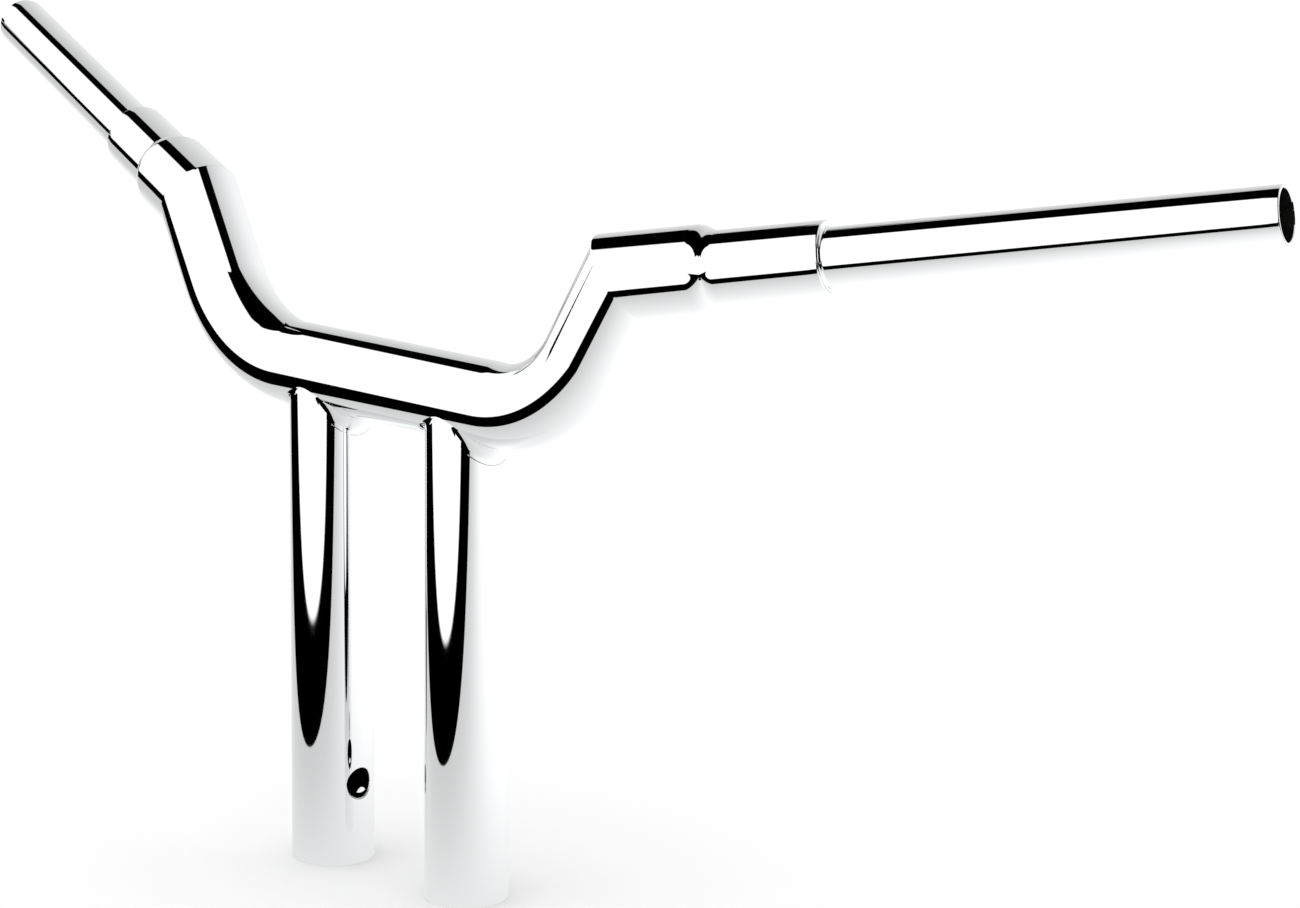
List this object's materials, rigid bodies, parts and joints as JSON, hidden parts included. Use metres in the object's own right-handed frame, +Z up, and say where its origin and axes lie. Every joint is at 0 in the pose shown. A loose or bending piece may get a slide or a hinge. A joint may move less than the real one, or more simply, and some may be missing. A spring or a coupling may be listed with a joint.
{
  "type": "motorcycle handlebar",
  "caption": "Chromed one-piece handlebar: welded upright risers, bent fat crossbar, mitred swept-back arms stepping down to grip tubes, wired inside.",
  "frame": {"origin": "midway between the two riser bolt axes, on the face that the risers stand on", "axes": "+X along the bar to the right-hand grip, +Y back towards the rider (the way the arms sweep), +Z up the risers"},
  "size_m": [0.8164, 0.1433, 0.3532],
  "materials": {
    "chrome": "mirror-polished chrome plate",
    "machined_steel": "turned steel, plated thin inside the thread"
  },
  "bodies": {
    "root": {"arm_tube_left": "chrome", "arm_tube_right": "chrome", "bung_weld_left": "chrome", "bung_weld_right": "chrome", "crossbar": "chrome", "grip_tube_left": "chrome", "grip_tube_right": "chrome", "mitre_weld_left": "chrome", "mitre_weld_right": "chrome", "riser_bung_left": "machined_steel", "riser_bung_right": "machined_steel", "riser_left": "chrome", "riser_right": "chrome", "saddle_weld_left": "chrome", "saddle_weld_right": "chrome", "shoulder_weld_left": "chrome", "shoulder_weld_right": "chrome", "sleeve_left": "chrome", "sleeve_right": "chrome", "sleeve_weld_left": "chrome", "sleeve_weld_right": "chrome"}
  },
  "joints": []
}
